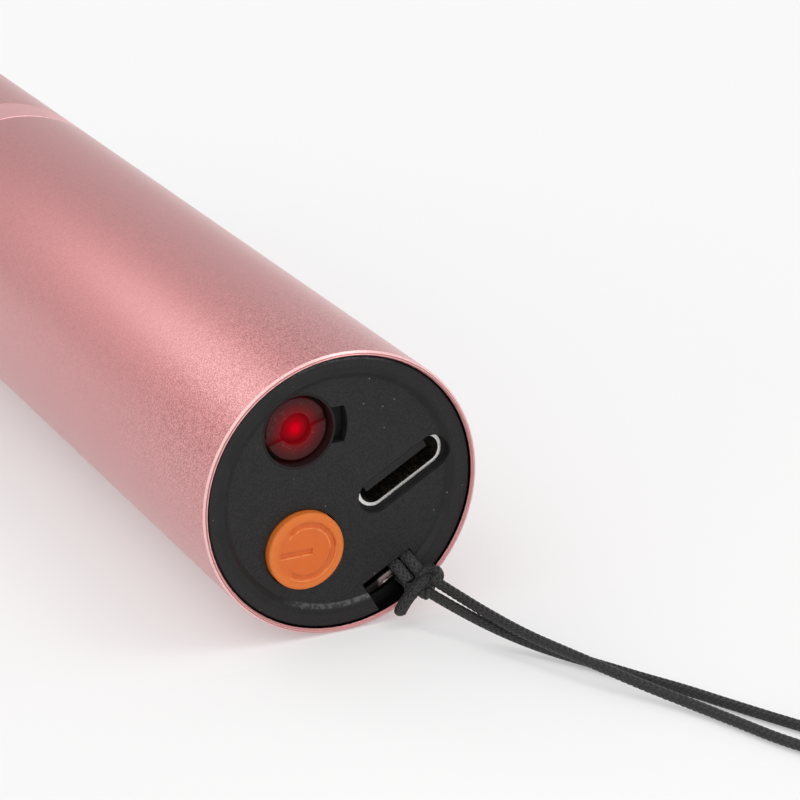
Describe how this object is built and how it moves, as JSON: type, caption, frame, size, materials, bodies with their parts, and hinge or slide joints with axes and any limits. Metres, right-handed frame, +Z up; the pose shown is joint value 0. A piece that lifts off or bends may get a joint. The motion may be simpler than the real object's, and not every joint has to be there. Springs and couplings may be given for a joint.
{
  "type": "cat laser pointer",
  "caption": "Rechargeable cat laser pointer: round anodised barrel with laser, charging port, push button and wrist cord on its end face.",
  "frame": {"origin": "on the table under the middle of the barrel's length, at the bottom centre of the box without the wrist cord", "axes": "+Y along the barrel from the front end face to the tail, +Z up from the table, +X to the right seen from the front end"},
  "size_m": [0.0578, 0.1661, 0.026],
  "materials": {
    "pink_anodised": "bead-blasted, anodised rose pink, satin",
    "pink_polished": "turned smooth, anodised light pink, semi-gloss",
    "black_plastic": "fine spark-eroded black moulding",
    "black_ring": "black anodised, satin",
    "lens_red": "clear moulded lens lit red from behind",
    "brass": "turned brass",
    "spring_steel": "drawn spring wire",
    "gold_can": "gold-plated can",
    "board_green": "green solder mask on glass-fibre board",
    "lead_red": "silicone insulated wire",
    "orange_plastic": "satin orange moulding",
    "switch_plastic": "black glass-filled plastic",
    "switch_steel": "stamped steel",
    "switch_button": "ivory plastic",
    "port_steel": "bright nickel-plated steel",
    "contact_gold": "gold-plated contacts",
    "screw_steel": "zinc-plated steel",
    "chip_black": "black chip case with tinned legs",
    "inductor_dark": "dark ferrite",
    "capacitor_tan": "tan ceramic chip",
    "contact_nickel": "nickel-plated contact",
    "cell_can": "nickel-plated can",
    "cell_wrap": "blue shrink wrap",
    "gasket_white": "white insulator ring",
    "spacer_white": "natural plastic tube",
    "seal_black": "black rubber ring",
    "bar_steel": "polished steel pin",
    "cord_black": "braided black nylon"
  },
  "bodies": {
    "root": {"body_tube": "pink_anodised", "front_plate": "black_plastic", "laser_sleeve": "black_ring", "laser_lens_ring": "black_ring", "laser_lens": "lens_red", "laser_barrel": "brass", "laser_spring": "spring_steel", "laser_diode": "gold_can", "laser_driver_board": "board_green", "laser_leads": "lead_red", "tact_base": "switch_plastic", "tact_cover": "switch_steel", "usb_shell": "port_steel", "usb_tongue": "black_plastic", "usb_contacts": "contact_gold", "inner_carrier": "black_plastic", "circuit_board": "board_green", "board_screws": "screw_steel", "charge_chip": "chip_black", "control_chip": "chip_black", "boost_inductor": "inductor_dark", "capacitors": "capacitor_tan", "link_pins": "contact_gold", "contact_board": "board_green", "positive_contact": "contact_nickel", "ground_clip": "contact_nickel", "battery_can": "cell_can", "battery_wrap": "cell_wrap", "battery_cap": "contact_nickel", "battery_gasket": "gasket_white", "battery_sleeve": "spacer_white", "threaded_neck": "pink_polished", "tail_oring": "seal_black", "lanyard_pin": "bar_steel", "lanyard_hitch": "cord_black", "lanyard_knot": "cord_black", "lanyard_tail": "cord_black", "lanyard_strand_a": "cord_black", "lanyard_strand_b": "cord_black", "lanyard_coil": "cord_black"},
    "power_button": {"power_button": "orange_plastic"},
    "tact_plunger": {"tact_plunger": "switch_button"},
    "trim_ring": {"trim_ring": "pink_polished"},
    "tail_cap": {"tail_cap": "pink_anodised", "tail_contact_plate": "contact_nickel", "tail_spring": "spring_steel"}
  },
  "joints": [
    {"name": "button_press", "type": "slide", "parent": "root", "child": "power_button", "axis": [0, 1, 0], "range_m": [0, 0.00045], "stiffness_N_per_m": 3000},
    {"name": "switch_travel", "type": "slide", "parent": "root", "child": "tact_plunger", "axis": [0, 1, 0], "range_m": [0, 0.0003]},
    {"name": "tail_travel", "type": "slide", "parent": "root", "child": "trim_ring", "axis": [0, 1, 0], "range_m": [0, 0.00469]},
    {"name": "tail_twist", "type": "hinge", "parent": "trim_ring", "child": "tail_cap", "pos_m": [0, 0.03, 0.013], "axis": [0, 1, 0], "range_deg": [0, 1350]}
  ],
  "couplings": [
    {"joint": "switch_travel", "follows": "button_press", "ratio": 0.66},
    {"joint": "tail_travel", "follows": "tail_twist", "m_per_rad": 0.00019894}
  ]
}
